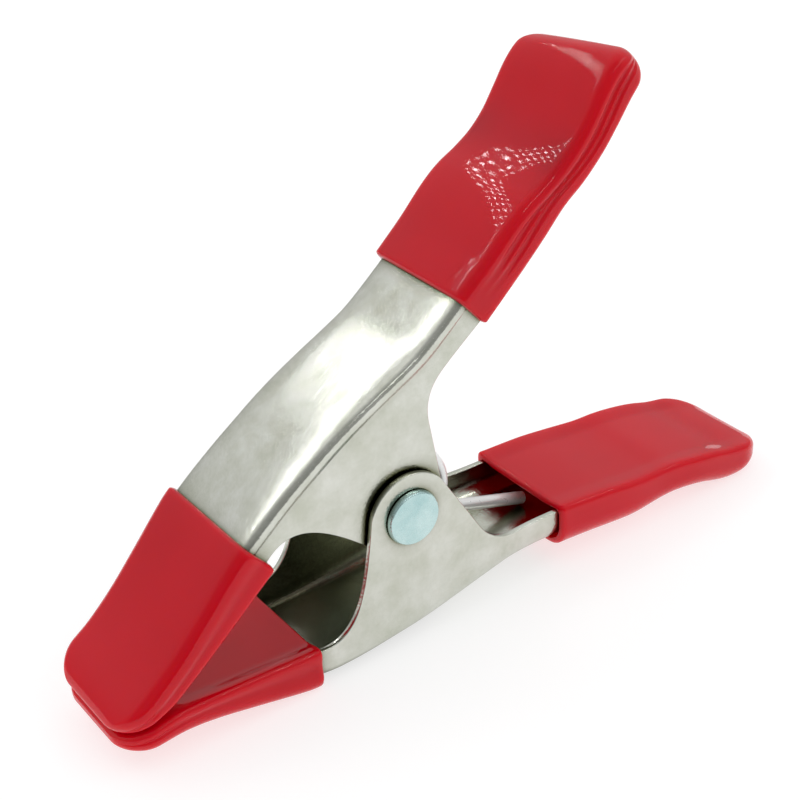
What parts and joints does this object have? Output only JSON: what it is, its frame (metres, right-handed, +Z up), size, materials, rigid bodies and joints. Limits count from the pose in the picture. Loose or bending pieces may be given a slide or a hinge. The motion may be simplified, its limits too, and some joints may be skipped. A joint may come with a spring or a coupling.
{
  "type": "spring clamp",
  "caption": "Spring clamp of two pressed steel levers on a rivet, held shut by a torsion spring, with soft vinyl jaw tips and wavy vinyl grips.",
  "frame": {"origin": "middle of the bounding box in plan, on the plane that the clamp stands on", "axes": "+X from the jaws to the handles, +Y across the clamp along the rivet, +Z up"},
  "size_m": [0.1666, 0.0318, 0.1102],
  "materials": {
    "lever_steel": "zinc plated, satin with soft bright patches",
    "spring_steel": "bright zinc plated wire",
    "rivet_zinc": "blue bright zinc plating, satin",
    "vinyl": "red dipped vinyl, glossy"
  },
  "bodies": {
    "lower": {"lower_lever": "lever_steel", "lower_jaw_sleeve": "vinyl", "lower_grip": "vinyl", "pivot_rivet": "rivet_zinc", "torsion_spring": "spring_steel"},
    "upper": {"upper_lever": "lever_steel", "upper_jaw_sleeve": "vinyl", "upper_grip": "vinyl"}
  },
  "joints": [
    {"name": "pivot", "type": "hinge", "parent": "lower", "child": "upper", "pos_m": [-0.01555, 0, 0.03035], "axis": [0, 1, 0], "range_deg": [0, 63], "stiffness_Nm_per_rad": 4.5, "springref_deg": -20.05, "deforming": ["torsion_spring"]}
  ]
}
